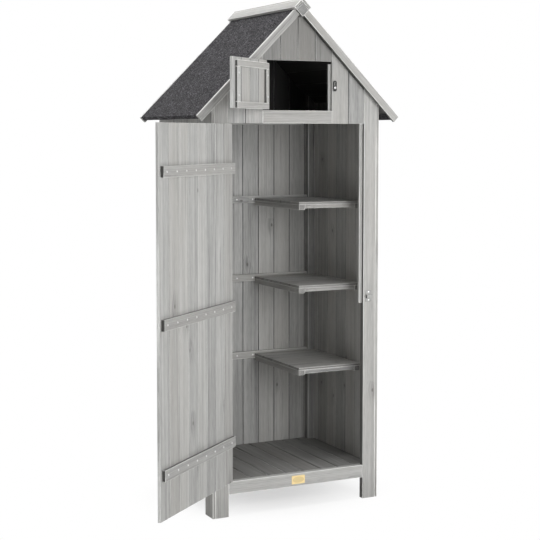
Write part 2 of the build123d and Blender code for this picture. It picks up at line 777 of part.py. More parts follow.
with BuildPart(hatch_plane) as hatch_screws:
    screws(stile_points, hatch_face, -1, hatch_frame_thickness + screw_bite)
    screws(hinge_points(hatch_levels, 1), leaf_face, 1, leaf_screw_length)
save(hatch_screws, "hatch_screws")
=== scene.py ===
import json
import math
import random

import bmesh
import bpy
from bpy.props import FloatProperty, FloatVectorProperty, PointerProperty
from mathutils import Matrix, Vector


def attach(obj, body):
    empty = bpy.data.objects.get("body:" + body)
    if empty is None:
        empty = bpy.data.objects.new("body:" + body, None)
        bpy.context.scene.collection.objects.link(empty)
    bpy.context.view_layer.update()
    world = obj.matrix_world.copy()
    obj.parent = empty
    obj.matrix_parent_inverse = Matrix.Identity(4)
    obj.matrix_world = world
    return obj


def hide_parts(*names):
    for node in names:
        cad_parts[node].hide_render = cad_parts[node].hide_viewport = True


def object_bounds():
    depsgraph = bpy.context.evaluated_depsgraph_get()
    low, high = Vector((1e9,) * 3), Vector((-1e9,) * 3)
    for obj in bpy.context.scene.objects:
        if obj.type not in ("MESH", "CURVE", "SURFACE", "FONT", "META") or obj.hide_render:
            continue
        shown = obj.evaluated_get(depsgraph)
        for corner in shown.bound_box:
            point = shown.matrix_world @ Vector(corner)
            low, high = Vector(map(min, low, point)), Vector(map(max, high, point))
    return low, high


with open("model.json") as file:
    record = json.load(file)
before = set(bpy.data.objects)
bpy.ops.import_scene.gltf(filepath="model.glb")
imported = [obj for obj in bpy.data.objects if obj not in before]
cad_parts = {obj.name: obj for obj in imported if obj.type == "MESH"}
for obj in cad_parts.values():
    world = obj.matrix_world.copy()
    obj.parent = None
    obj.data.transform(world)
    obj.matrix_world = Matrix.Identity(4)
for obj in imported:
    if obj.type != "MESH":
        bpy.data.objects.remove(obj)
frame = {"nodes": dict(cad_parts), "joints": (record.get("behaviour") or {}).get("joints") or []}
cad_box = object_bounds()

bl_info = {
    "name": "Garden shed dressing",
    "version": (1, 0, 0),
    "blender": (4, 5, 0),
    "location": "View3D > Sidebar > Shed",
    "description": "Dresses the solids of a narrow garden shed in stained boards, felt and fittings",
    "category": "Object",
}

MM = 0.001

# Distances under which points are welded, specks are dissolved and cuts snap to a corner
WELD = 0.001 * MM
SPECK = 0.002 * MM
CUT_SNAP = 0.1 * MM

# Angles that count as flat, as an edge to round and as a crease in the shading
FLAT_ANGLE = math.radians(0.3)
SHARP_ANGLE = math.radians(35)
CREASE_ANGLE = math.radians(50)

# Shortest edges that are rounded
TRIM_EDGE = 8 * MM
BOARD_EDGE = 60 * MM
GABLE_EDGE = 30 * MM
FELT_EDGE = 1 * MM
LONG_METAL_EDGE = 6 * MM
SHORT_METAL_EDGE = 3 * MM
ANY_EDGE = 0.1 * MM

# How squarely a face looks along a direction to count as a sawn end, a joint or a marked side
END_FACING = 0.6
JOINT_FACING = 0.5
MARK_FACING = 0.9

# Faces this near to the outermost ones of a piece are not in a joint
OUTER_MARGIN = 2 * MM

# Middle of the loft floor, and how far under the ridge the slopes meet that bound the painted shadow of
# the bargeboards on the gable
LOFT_LEVEL = 1398 * MM
BARGE_SHADOW_DROP = 46 * MM

# The plate's tarnish stays this far from its ends
PLATE_MARGIN = 3 * MM
PLATE_TARNISH = 0.42

# A pan head as shares of its radius and height, and the cross recess in it
SCREW_SIDES = 24
HEAD_PROFILE = ((0.60, 0.0), (0.84, 0.16), (0.96, 0.48), (1.0, 0.82), (1.0, 1.0))
RECESS_HALF_WIDTH = 0.11
RECESS_REACH = 0.46
RECESS_TAPER = 0.8
RECESS_DEPTH = 0.62

# Soft boxes 2 m wide that look at the middle of the shed, by the names of their settings
BOX_SIZE = 2.0
BOX_AIM = Vector((0.0, 0.0, 0.9))
BOX_PLACES = {
    "top_light": (-0.5, -0.3, 5.3),
    "front_light": (0.4, -3.58, 1.6),
    "side_light": (3.86, -2.23, 1.53),
    "left_light": (-3.8, -1.0, 1.5),
    "fill_light": (1.83, -1.06, 4.87),
    "rear_light": (0.0, 4.35, 2.07),
}

# Half the floor's width and the camera's place in metres, and its tilt and turn in degrees
FLOOR_REACH = 30.0
CAMERA_PLACE = (-2.10265, -4.30822, 1.31769)
CAMERA_TILT = 85.9045
CAMERA_TURN = -26.1622
CAMERA_SHIFT = -0.075
SENSOR_WIDTH = 36.0

# Sockets of a colour mix node, whose names repeat, and settings that many nodes share
SHARE, FROM, TO = 0, 6, 7
COLOUR_MIX = {"out": 2, "data_type": "RGBA"}
SMOOTH = {"interpolation_type": "SMOOTHSTEP"}

# Directions of the standing timber, as along, through and up
HOUSE_AXES = (Vector((1, 0, 0)), Vector((0, 1, 0)), Vector((0, 0, 1)))

# The roof falls at 45 degrees on both sides
SLOPE = math.sqrt(0.5)
LEFT_SLOPE_AXES = (Vector((-SLOPE, 0, -SLOPE)), Vector((0, 1, 0)), Vector((-SLOPE, 0, SLOPE)))
RIGHT_SLOPE_AXES = (Vector((SLOPE, 0, -SLOPE)), Vector((0, 1, 0)), Vector((SLOPE, 0, SLOPE)))

# Nodes of each kind of timber
POSTS = ("front_post_left", "front_post_right", "rear_post_left", "rear_post_right")
CORNER_BOARDS = ("corner_board_left", "corner_board_right")
WALLS = ("left_wall_boards", "right_wall_boards", "back_wall_boards")
BATTENS = ("back_wall_battens", "left_wall_battens")
FLOOR_TIMBER = ("floor_bearers_side", "floor_bearers_cross", "front_sill")
LOFT_TIMBER = ("loft_bearers", "loft_sill_board")
GABLE = ("gable_boards_left", "gable_boards_right", "gable_boards_top")
STOPS = ("door_stop", "hatch_stop")
SHELF_BOARDS = ("shelf_boards_top", "shelf_boards_middle", "shelf_boards_low")
SHELF_FRAMES = ("shelf_frame_top", "shelf_frame_middle", "shelf_frame_low")


def linear(code):
    """Turn an sRGB hex colour into a linear triple."""
    parts = [int(code[i:i + 2], 16) / 255 for i in (1, 3, 5)]
    return tuple(c / 12.92 if c <= 0.04045 else ((c + 0.055) / 1.055) ** 2.4 for c in parts)


def rgba(colour):
    """A colour property as the four numbers of a shader socket."""
    return (colour[0], colour[1], colour[2], 1.0)


def repeats(size_mm):
    """Pattern repeats per metre of a feature of this size in millimetres."""
    return 1.0 / (size_mm * MM)


def colour_setting(name, description, code):
    """A colour property with an sRGB hex colour as its default."""
    return FloatVectorProperty(name=name, description=description, default=linear(code),
                               size=3, subtype="COLOR", min=0, max=1)


def length_setting(name, description, size_mm, least_mm):
    """A length property with its default and its least value in millimetres."""
    return FloatProperty(name=name, description=description, default=size_mm * MM,
                         min=least_mm * MM, unit="LENGTH")


def power_setting(name, description, watts):
    """A property for the power of a light."""
    return FloatProperty(name=name, description=description, default=watts, min=0, unit="POWER")


def turned_axes(joint_name):
    """Directions of a leaf that rests open by its joint's whole closing angle."""
    joint = next(j for j in frame["joints"] if j["name"] == joint_name)
    angle = math.radians(-joint["range_deg"][0])
    along = Vector((math.cos(angle), -math.sin(angle), 0))
    through = Vector((math.sin(angle), math.cos(angle), 0))
    return along, through, Vector((0, 0, 1))


class ShedTimberSettings(bpy.types.PropertyGroup):
    """Sizes and colours of the stained softwood."""

    post_ease: length_setting(
        "Post rounding", "Rounding of the edges of posts, rails and trims", 1.6, 0.1)
    board_ease: length_setting(
        "Board rounding", "Rounding of the edges of tongue-and-groove boards", 0.4, 0.1)
    light_stain: colour_setting("Light stain", "Stain on the pale early wood", "#C8C8C6")
    dark_stain: colour_setting("Dark stain", "Stain on the dense late wood", "#8F8F8E")
    warm_stain: colour_setting("Warm stain", "Stain where the wood shows through", "#B9B5AF")
    knot: colour_setting("Knot", "Heart of the knots", "#55524F")
    end_grain: colour_setting("End grain", "Sawn ends, which drink more stain", "#4A4947")
    # The rubbed colour is near white and is also a painted highlight on eased edges
    rubbed_and_highlight: colour_setting("Rubbed edge", "Edges where the stain is rubbed thin", "#F6F6F4")
    # The seam colour is also painted shade on the left sides of the posts, under the bargeboards, on the
    # gable and inside the loft
    seam: colour_setting("Seam", "Stain and dirt gathered in the joints between boards", "#3A3938")
    dirt: colour_setting("Dirt", "Dirt packed along the joints of boards that are walked on", "#191817")
    # The dull colour is also painted shade: at the foot of the shed, on the floor, in the loft, under the
    # roof and in the back corners
    shade: colour_setting(
        "Dull stain", "Boards that have taken more stain or dirt than the rest", "#565553")
    ring_width: length_setting("Ring width", "Spacing of the growth rings", 6.0, 1)
    tone_spread: FloatProperty(
        name="Tone spread", description="Difference in tone from board to board",
        default=0.16, min=0, max=1, subtype="FACTOR")


class ShedRoofSettings(bpy.types.PropertyGroup):
    """Sizes and colours of the mineral felt."""

    grit: colour_setting("Grit", "Mineral grit on the felt", "#2F2E30")
    pale_grit: colour_setting("Pale grit", "Pale grains among the grit", "#9C9A9F")
    bitumen: colour_setting("Bitumen", "Bitumen between the grains", "#0C0B0C")
    felt_ease: length_setting("Fold rounding", "Rounding of the felt's folds and cut edges", 0.8, 0.1)


class ShedFittingSettings(bpy.types.PropertyGroup):
    """Sizes and colours of the metal fittings."""

    zinc: colour_setting("Zinc", "Bright zinc of the screws", "#F4F4F4")
    dull_zinc: colour_setting("Dull zinc", "Weathered zinc of plates and hinges", "#A9A9A7")
    dark_coat: colour_setting("Dark coat", "Coating of the turn button", "#161514")
    bare_edge: colour_setting("Bare edge", "Steel where the coating is worn through", "#8D8A86")
    brass: colour_setting("Brass", "Satin brass of the plate", "#F3DCA6")
    metal_ease: length_setting("Metal rounding", "Rounding of the edges of the fittings", 0.35, 0.05)


class ShedStageSettings(bpy.types.PropertyGroup):
    """Floor, light and camera."""

    floor: colour_setting("Floor", "Floor colour", "#FDFDFC")
    room_light: FloatProperty(
        name="Room light", description="Strength of the even light from all round",
        default=0.07, min=0)
    top_light: power_setting("Top light", "Power of the soft box overhead", 150.0)
    front_light: power_setting("Front light", "Power of the soft box in front", 70.0)
    side_light: power_setting("Side light", "Power of the soft box at the front right", 18.0)
    left_light: power_setting("Left light", "Power of the soft box on the left", 14.0)
    fill_light: power_setting("Fill light", "Power of the soft box high on the right", 22.0)
    rear_light: power_setting("Rear light", "Power of the soft box behind", 70.0)
    focal_length: FloatProperty(
        name="Focal length", description="Lens of the camera in millimetres",
        default=87.3485, min=1)


def add(tree, kind, inputs=None, out=0, **settings):
    """Add a node with its settings, fill or link its inputs, and return one of its outputs."""
    node = tree.nodes.new(kind)
    for name, value in settings.items():
        setattr(node, name, value)
    for key, value in (inputs or {}).items():
        socket = node.inputs[key]
        if isinstance(value, bpy.types.NodeSocket):
            tree.links.new(value, socket)
        else:
            socket.default_value = value
    return node.outputs[out] if len(node.outputs) else None


def material_tree(name):
    """The material of this name, and its empty node tree if it is new or None if it is made."""
    if name in bpy.data.materials:
        return bpy.data.materials[name], None
    material = bpy.data.materials.new(name)
    material.use_nodes = True
    material.node_tree.nodes.clear()
    return material, material.node_tree


def seen_by_eye(tree):
    """A factor of 1 for what is seen directly, in a mirror or through glass, and 0 for lighting."""
    seen = add(tree, "ShaderNodeLightPath", out="Is Camera Ray")
    for kind in ("Is Glossy Ray", "Is Transmission Ray"):
        ray = add(tree, "ShaderNodeLightPath", out=kind)
        seen = add(tree, "ShaderNodeMath", {0: seen, 1: ray}, operation="MAXIMUM")
    return seen


def stained_spruce(timber):
    """Planed spruce under a thin grey stain."""
    # Planed softwood under a thin grey stain: matt and pale, with soft growth rings that run
    # out into long arches, fine streaks along the grain, a few small knots and darker sawn ends,
    # with painted shade and painted highlights marked on it.
    material, tree = material_tree("stained_spruce_planed")
    if tree is None:
        return material
    grain, board, span = [add(tree, "ShaderNodeAttribute", attribute_name=layer, out="Vector")
                          for layer in ("grain", "board", "span")]
    worn, sawn_end, seam = [add(tree, "ShaderNodeAttribute", attribute_name=layer, out="Fac")
                            for layer in ("worn", "sawn_end", "seam")]
    tone, warmth, dullness = [add(tree, "ShaderNodeSeparateXYZ", {0: board}, out=part) for part in "XYZ"]
    along, across, depth = [add(tree, "ShaderNodeSeparateXYZ", {0: grain}, out=part) for part in "XYZ"]
    aside, half, packed = [add(tree, "ShaderNodeSeparateXYZ", {0: span}, out=part) for part in "XYZ"]

    # Knots about 13 by 7 mm, in some of the cells of a net of 125 by 70 mm
    knot_net = add(tree, "ShaderNodeVectorMath",
                   {0: grain, 1: (repeats(125), repeats(70), 0.0)}, operation="MULTIPLY")
    knot_cell = {"Vector": knot_net, "Scale": 1.0, "Randomness": 0.85}
    knot_away, knot_draw, knot_place = [
        add(tree, "ShaderNodeTexVoronoi", knot_cell, out=part, voronoi_dimensions="2D")
        for part in ("Distance", "Color", "Position")]
    has_knot = add(tree, "ShaderNodeMath",
                   {0: add(tree, "ShaderNodeSeparateColor", {0: knot_draw}), 1: 0.88},
                   operation="GREATER_THAN")
    knot_core = add(tree, "ShaderNodeMapRange",
                    {"Value": knot_away, "From Min": 0.075, "From Max": 0.03}, **SMOOTH)
    knot_swirl = add(tree, "ShaderNodeMapRange",
                     {"Value": knot_away, "From Min": 0.5, "From Max": 0.05}, **SMOOTH)
    knot_mark = add(tree, "ShaderNodeMath", {0: knot_core, 1: has_knot}, operation="MULTIPLY")
    knot_bend = add(tree, "ShaderNodeMath", {0: knot_swirl, 1: has_knot}, operation="MULTIPLY")

    # The grain wanders sideways by about 6 mm, and parts round each knot
    slow = add(tree, "ShaderNodeVectorMath",
               {0: grain, 1: (repeats(420), repeats(70), repeats(70))}, operation="MULTIPLY")
    wander = add(tree, "ShaderNodeTexNoise", {"Vector": slow, "Scale": 1.0, "Detail": 2.0})
    sideways = add(tree, "ShaderNodeMath", {0: wander, 1: 0.014, 2: -0.007}, operation="MULTIPLY_ADD")
    knot_step = add(tree, "ShaderNodeVectorMath", {0: knot_net, 1: knot_place}, operation="SUBTRACT")
    knot_side = add(tree, "ShaderNodeSeparateXYZ", {0: knot_step}, out="Y")
    parting = add(tree, "ShaderNodeMath", {0: knot_side, 1: knot_bend}, operation="MULTIPLY")
    bent = add(tree, "ShaderNodeMath", {0: parting, 1: -0.055, 2: sideways}, operation="MULTIPLY_ADD")
    flow_across = add(tree, "ShaderNodeMath", {0: across, 1: bent}, operation="ADD")
    flow = add(tree, "ShaderNodeCombineXYZ", {"X": along, "Y": flow_across, "Z": depth})

    # The saw cut runs slowly nearer to the heart and away from it, which makes the arches
    taper = add(tree, "ShaderNodeMath", {0: along, 1: repeats(900)}, operation="MULTIPLY")
    drift = add(tree, "ShaderNodeTexNoise", {"W": taper, "Scale": 1.0, "Detail": 1.0},
                noise_dimensions="1D")
    drifted = add(tree, "ShaderNodeMath", {0: drift, 1: 0.07, 2: -0.035}, operation="MULTIPLY_ADD")
    ring_depth = add(tree, "ShaderNodeMath", {0: depth, 1: drifted}, operation="ADD")
    ring_point = add(tree, "ShaderNodeCombineXYZ", {"Y": flow_across, "Z": ring_depth})
    radius = add(tree, "ShaderNodeVectorMath", {0: ring_point}, out="Value", operation="LENGTH")
    # Real rings are 2 to 4 mm apart: they are drawn wider, so that they show in the render
    rings = add(tree, "ShaderNodeMath", {0: radius, 1: 1.0 / timber.ring_width}, operation="MULTIPLY")
    phase = add(tree, "ShaderNodeMath", {0: rings}, operation="FRACT")
    rise = add(tree, "ShaderNodeMapRange", {"Value": phase, "From Min": 0.15, "From Max": 0.82}, **SMOOTH)
    fall = add(tree, "ShaderNodeMapRange", {"Value": phase, "From Min": 1.0, "From Max": 0.86}, **SMOOTH)
    late_wood = add(tree, "ShaderNodeMath", {0: rise, 1: fall}, operation="MULTIPLY")

    # Streaks of stain 14 mm wide, dark lines 5 mm wide, pores drawn 2.8 mm wide instead of 0.3,
    # and broad patches
    streak_net = add(tree, "ShaderNodeVectorMath",
                     {0: flow, 1: (repeats(800), repeats(14), repeats(14))}, operation="MULTIPLY")
    streak = add(tree, "ShaderNodeTexNoise",
                 {"Vector": streak_net, "Scale": 1.0, "Detail": 3.0, "Roughness": 0.6})
    line_net = add(tree, "ShaderNodeVectorMath",
                   {0: flow, 1: (repeats(330), repeats(5), repeats(5))}, operation="MULTIPLY")
    line_noise = add(tree, "ShaderNodeTexNoise", {"Vector": line_net, "Scale": 1.0, "Detail": 1.0})
    lines = add(tree, "ShaderNodeMapRange", {"Value": line_noise, "From Min": 0.56, "From Max": 0.72},
                **SMOOTH)
    pore_net = add(tree, "ShaderNodeVectorMath",
                   {0: flow, 1: (repeats(34), repeats(2.8), repeats(2.8))}, operation="MULTIPLY")
    pores = add(tree, "ShaderNodeTexNoise", {"Vector": pore_net, "Scale": 1.0, "Detail": 1.0})
    patch_net = add(tree, "ShaderNodeVectorMath",
                    {0: grain, 1: (repeats(260), repeats(60), repeats(60))}, operation="MULTIPLY")
    patches = add(tree, "ShaderNodeTexNoise", {"Vector": patch_net, "Scale": 1.0, "Detail": 2.0})

    # Dirt gathers along the joints of some boards, and is drawn 5 mm wide to show in the render
    offset = add(tree, "ShaderNodeMath", {0: aside}, operation="ABSOLUTE")
    inset = add(tree, "ShaderNodeMath", {0: half, 1: offset}, operation="SUBTRACT")
    rim = add(tree, "ShaderNodeMapRange",
              {"Value": inset, "From Min": 6.0 * MM, "From Max": 3.0 * MM}, **SMOOTH)
    dirt = add(tree, "ShaderNodeMath", {0: rim, 1: packed}, operation="MULTIPLY")

    # Each pattern darkens the stain by its own share
    shade = add(tree, "ShaderNodeMath", {0: streak, 1: 1.2, 2: -0.86}, operation="MULTIPLY_ADD")
    for pattern, amount in ((late_wood, 0.26), (lines, 0.34), (pores, 0.75), (patches, 0.45),
                            (knot_bend, 0.3), (tone, timber.tone_spread)):
        shade = add(tree, "ShaderNodeMath", {0: pattern, 1: amount, 2: shade}, operation="MULTIPLY_ADD")
    shade = add(tree, "ShaderNodeClamp", {0: shade, 1: 0.0, 2: 1.35})
    stain = add(tree, "ShaderNodeMix",
                {SHARE: shade, FROM: rgba(timber.light_stain), TO: rgba(timber.dark_stain)},
                **COLOUR_MIX, clamp_factor=False)
    warm_share = add(tree, "ShaderNodeMath", {0: warmth, 1: patches}, operation="MULTIPLY")

    # Painted shade darkens the feet over the lowest 110 mm, and painted shade dulls the boards
    # a little more towards the bottom, up to 900 mm
    place = add(tree, "ShaderNodeTexCoord", out="Object")
    level = add(tree, "ShaderNodeSeparateXYZ", {0: place}, out="Z")
    shade_at_feet = add(tree, "ShaderNodeMapRange",
               {"Value": level, "From Min": 110 * MM, "From Max": 30 * MM, "To Max": 0.15}, **SMOOTH)
    shade_low_down = add(tree, "ShaderNodeMapRange",
                 {"Value": level, "From Min": 900 * MM, "From Max": 100 * MM, "To Max": 0.16})
    marks = ((warm_share, 0.8, timber.warm_stain), (knot_mark, 0.65, timber.knot),
             (shade_at_feet, 1.0, timber.shade), (shade_low_down, 1.0, timber.shade), (dullness, 1.0, timber.shade),
             (sawn_end, 1.0, timber.end_grain), (seam, 1.0, timber.seam), (dirt, 1.0, timber.dirt))
    for share, amount, colour in marks:
        share = add(tree, "ShaderNodeMath", {0: share, 1: amount}, operation="MULTIPLY")
        stain = add(tree, "ShaderNodeMix", {SHARE: share, FROM: stain, TO: rgba(colour)}, **COLOUR_MIX)
    # Rubbed edges turn pale in patches, and their near-white colour is also a painted highlight
    rub = add(tree, "ShaderNodeMapRange",
              {"Value": patches, "From Min": 0.38, "From Max": 0.6, "To Min": 0.25})
    rub_and_highlight_share = add(tree, "ShaderNodeMath", {0: worn, 1: rub}, operation="MULTIPLY")
    stain = add(tree, "ShaderNodeMix", {SHARE: rub_and_highlight_share, FROM: stain, TO: rgba(timber.rubbed_and_highlight)},
                **COLOUR_MIX)

    # Streaks that took more stain are rougher, and the late wood and the pores stand out by 0.35 mm
    roughness = add(tree, "ShaderNodeMapRange",
                    {"Value": streak, "From Min": 0.3, "From Max": 0.7, "To Min": 0.62, "To Max": 0.8})
    relief = add(tree, "ShaderNodeMath", {0: late_wood, 1: 0.6, 2: pores}, operation="MULTIPLY_ADD")
    bump = add(tree, "ShaderNodeBump",
               {"Strength": 0.55, "Distance": 0.35 * MM, "Height": relief})
    shader = add(tree, "ShaderNodeBsdfPrincipled",
                 {"Base Color": stain, "Roughness": roughness, "Normal": bump, "IOR": 1.47})
    add(tree, "ShaderNodeOutputMaterial", {"Surface": shader})
    return material


def mineral_felt(roof):
    """Bitumen felt with slate grit pressed into it."""
    # Roofing felt: dead matt charcoal, a dense speckle of paler and darker grit over
    # cloudy patches where more or less grit has stuck.
    material, tree = material_tree("mineral_felt_gritted")
    if tree is None:
        return material
    place = add(tree, "ShaderNodeTexCoord", out="Object")
    # Slate grit is 1 to 2 mm across: it is drawn 2.7 mm across, so that it shows in the render
    grain_size = add(tree, "ShaderNodeTexVoronoi", {"Vector": place, "Scale": repeats(2.7)})
    grain_tint = add(tree, "ShaderNodeTexVoronoi", {"Vector": place, "Scale": repeats(2.7)}, out="Color")
    tint = add(tree, "ShaderNodeSeparateColor", {0: grain_tint})
    clouds = add(tree, "ShaderNodeTexNoise",
                 {"Vector": place, "Scale": repeats(38), "Detail": 4.0, "Roughness": 0.65})
    pale = add(tree, "ShaderNodeMapRange",
               {"Value": tint, "From Min": 0.62, "From Max": 1.0, "To Max": 0.7})
    dark = add(tree, "ShaderNodeMapRange",
               {"Value": tint, "From Min": 0.42, "From Max": 0.0, "To Max": 0.85})
    colour = add(tree, "ShaderNodeMix", {SHARE: pale, FROM: rgba(roof.grit), TO: rgba(roof.pale_grit)},
                 **COLOUR_MIX)
    colour = add(tree, "ShaderNodeMix", {SHARE: dark, FROM: colour, TO: rgba(roof.bitumen)}, **COLOUR_MIX)
    thin = add(tree, "ShaderNodeMapRange",
               {"Value": clouds, "From Min": 0.35, "From Max": 0.7, "To Max": 0.28})
    colour = add(tree, "ShaderNodeMix", {SHARE: thin, FROM: colour, TO: rgba(roof.bitumen)}, **COLOUR_MIX)
    bump = add(tree, "ShaderNodeBump",
               {"Strength": 0.7, "Distance": 0.8 * MM, "Height": grain_size}, invert=True)
    roughness = add(tree, "ShaderNodeMapRange", {"Value": tint, "To Min": 0.82, "To Max": 0.97})
    shader = add(tree, "ShaderNodeBsdfPrincipled",
                 {"Base Color": colour, "Roughness": roughness, "Normal": bump,
                  "Specular IOR Level": 0.12})
    add(tree, "ShaderNodeOutputMaterial", {"Surface": shader})
    return material


def zinc_steel(fittings, dulled):
    """Steel with zinc plating, bright or dulled."""
    # Zinc-plated steel: silver with faint cloudy patches and a soft sheen, bright on screws
    # and grey and duller on plates that have stood in the rain.
    material, tree = material_tree("zinc_plated_steel_dulled" if dulled else "zinc_plated_steel_bright")
    if tree is None:
        return material
    place = add(tree, "ShaderNodeTexCoord", out="Object")
    clouds = add(tree, "ShaderNodeTexNoise", {"Vector": place, "Scale": repeats(6), "Detail": 3.0})
    fresh = fittings.dull_zinc if dulled else fittings.zinc
    aged = tuple(c * 0.7 for c in fresh)
    colour = add(tree, "ShaderNodeMix", {SHARE: clouds, FROM: rgba(fresh), TO: rgba(aged)}, **COLOUR_MIX)
    soft = 0.14 if dulled else 0.0
    roughness = add(tree, "ShaderNodeMapRange",
                    {"Value": clouds, "To Min": 0.28 + soft, "To Max": 0.46 + soft})
    shader = add(tree, "ShaderNodeBsdfPrincipled",
                 {"Base Color": colour, "Roughness": roughness, "Metallic": 1.0})
    add(tree, "ShaderNodeOutputMaterial", {"Surface": shader})
    return material


def coated_steel(fittings):
    """Steel under a dark baked coat."""
    # Dark coated steel: near black with a low sheen, a fine orange-peel skin, and bare grey
    # metal where edges have rubbed.
    material, tree = material_tree("dark_coated_steel")
    if tree is None:
        return material
    place = add(tree, "ShaderNodeTexCoord", out="Object")
    worn = add(tree, "ShaderNodeAttribute", attribute_name="worn", out="Fac")
    peel = add(tree, "ShaderNodeTexNoise", {"Vector": place, "Scale": repeats(1.2), "Detail": 2.0})
    chips = add(tree, "ShaderNodeMapRange",
                {"Value": peel, "From Min": 0.5, "From Max": 0.7, "To Max": 0.6})
    bare = add(tree, "ShaderNodeMath", {0: worn, 1: chips}, operation="MULTIPLY")
    colour = add(tree, "ShaderNodeMix",
                 {SHARE: bare, FROM: rgba(fittings.dark_coat), TO: rgba(fittings.bare_edge)},
                 **COLOUR_MIX)
    bump = add(tree, "ShaderNodeBump", {"Strength": 0.3, "Distance": 0.1 * MM, "Height": peel})
    roughness = add(tree, "ShaderNodeMapRange", {"Value": peel, "To Min": 0.34, "To Max": 0.5})
    shader = add(tree, "ShaderNodeBsdfPrincipled",
                 {"Base Color": colour, "Metallic": bare, "Roughness": roughness, "Normal": bump})
    add(tree, "ShaderNodeOutputMaterial", {"Surface": shader})
    return material


def satin_brass(fittings):
    """Brass with a brushed face."""
    # Satin brass: pale gold with fine brush lines along the plate and a low even shine.
    material, tree = material_tree("satin_brass_brushed")
    if tree is None:
        return material
    place = add(tree, "ShaderNodeTexCoord", out="Object")
    worn = add(tree, "ShaderNodeAttribute", attribute_name="worn", out="Fac")
    brush_net = add(tree, "ShaderNodeVectorMath",
                    {0: place, 1: (repeats(18), repeats(0.6), repeats(0.6))}, operation="MULTIPLY")
    brush = add(tree, "ShaderNodeTexNoise", {"Vector": brush_net, "Scale": 1.0, "Detail": 2.0})
    aged = tuple(c * 0.4 for c in fittings.brass)
    age = add(tree, "ShaderNodeMath", {0: brush, 1: 0.35}, operation="MULTIPLY")
    colour = add(tree, "ShaderNodeMix", {SHARE: age, FROM: rgba(fittings.brass), TO: rgba(aged)},
                 **COLOUR_MIX)
    edge = add(tree, "ShaderNodeMath", {0: worn, 1: 0.8}, operation="MULTIPLY")
    colour = add(tree, "ShaderNodeMix", {SHARE: edge, FROM: colour, TO: rgba(aged)}, **COLOUR_MIX)
    bump = add(tree, "ShaderNodeBump", {"Strength": 0.25, "Distance": 0.05 * MM, "Height": brush})
    roughness = add(tree, "ShaderNodeMapRange", {"Value": brush, "To Min": 0.32, "To Max": 0.5})
    shader = add(tree, "ShaderNodeBsdfPrincipled",
                 {"Base Color": colour, "Metallic": 1.0, "Roughness": roughness, "Normal": bump})
    add(tree, "ShaderNodeOutputMaterial", {"Surface": shader})
    return material


def matt_paper(stage):
    """White paper that shows white to the eye and keeps the shed's shadow."""
    # Matt white paper: white all over with a soft grey shadow.
    material, tree = material_tree("matt_paper_floor")
    if tree is None:
        return material
    place = add(tree, "ShaderNodeTexCoord", out="Object")
    fibre = add(tree, "ShaderNodeTexNoise", {"Vector": place, "Scale": repeats(40)})
    dusty = [c * 0.98 for c in stage.floor]
    colour = add(tree, "ShaderNodeMix", {SHARE: fibre, FROM: rgba(stage.floor), TO: rgba(dusty)},
                 **COLOUR_MIX)
    paper = add(tree, "ShaderNodeBsdfDiffuse", {"Color": colour})
    glow = add(tree, "ShaderNodeEmission", {"Strength": 1.0})
    seen = seen_by_eye(tree)
    # Pure white in the open, and less so under the shed, where its shadow shows
    under = add(tree, "ShaderNodeVectorMath", {0: place, 1: (0.8, 1.0, 1.0)}, operation="MULTIPLY")
    away = add(tree, "ShaderNodeVectorMath", {0: under}, out="Value", operation="LENGTH")
    fade = add(tree, "ShaderNodeMapRange",
               {"Value": away, "From Min": 0.05, "From Max": 0.42, "To Min": 0.58, "To Max": 1.0},
               **SMOOTH)
    share = add(tree, "ShaderNodeMath", {0: seen, 1: fade}, operation="MULTIPLY")
    mixed = add(tree, "ShaderNodeMixShader", {0: share, 1: paper, 2: glow})
    add(tree, "ShaderNodeOutputMaterial", {"Surface": mixed})
    return material


def node_mesh(node):
    """A welded copy of a node's mesh with its flat faces joined up."""
    bm = bmesh.new()
    bm.from_mesh(frame["nodes"][node].data)
    bmesh.ops.remove_doubles(bm, verts=bm.verts, dist=WELD)
    bmesh.ops.dissolve_limit(bm, angle_limit=FLAT_ANGLE, verts=bm.verts, edges=bm.edges)
    return bm


def islands(bm):
    """Lists of the vertices of each separate solid, in order of where they stand."""
    seen = set()
    found = []
    for start in bm.verts:
        if start in seen:
            continue
        seen.add(start)
        group = [start]
        for vert in group:
            for edge in vert.link_edges:
                other = edge.other_vert(vert)
                if other not in seen:
                    seen.add(other)
                    group.append(other)
        found.append(group)

    def place(group):
        middle = sum((v.co for v in group), Vector()) / len(group)
        return tuple(round(c, 5) for c in middle)

    return sorted(found, key=place)


def settle_order(bm):
    """Order a mesh by its solids and by where their parts lie, because a cut leaves it in any order."""
    # Hardly any two places of a solid share their reach along this direction, and none reaches 10 m
    slant = Vector((0.5779, 0.3217, 0.7499))
    solid = {v: 10.0 * number for number, group in enumerate(islands(bm)) for v in group}
    bm.faces.sort(key=lambda f: solid[f.verts[0]] + f.calc_center_median().dot(slant))
    bm.edges.sort(key=lambda e: solid[e.verts[0]] + (e.verts[0].co + e.verts[1].co).dot(slant))
    bm.verts.sort(key=lambda v: solid[v] + v.co.dot(slant))


def ease_edges(bm, ease, shortest, steps=2):
    """Round the edges that are sharp and at least this long, and mark the new faces as worn."""
    worn = bm.faces.layers.float.new("worn")
    edges = []
    for edge in bm.edges:
        if len(edge.link_faces) != 2 or edge.calc_length() < shortest:
            continue
        if edge.calc_face_angle() > SHARP_ANGLE:
            edges.append(edge)
    if edges:
        made = bmesh.ops.bevel(bm, geom=edges, offset=ease, offset_type="OFFSET", segments=steps,
                               profile=0.5, affect="EDGES", clamp_overlap=True)
        for face in made["faces"]:
            face[worn] = 1.0
        bmesh.ops.dissolve_degenerate(bm, dist=SPECK, edges=bm.edges)


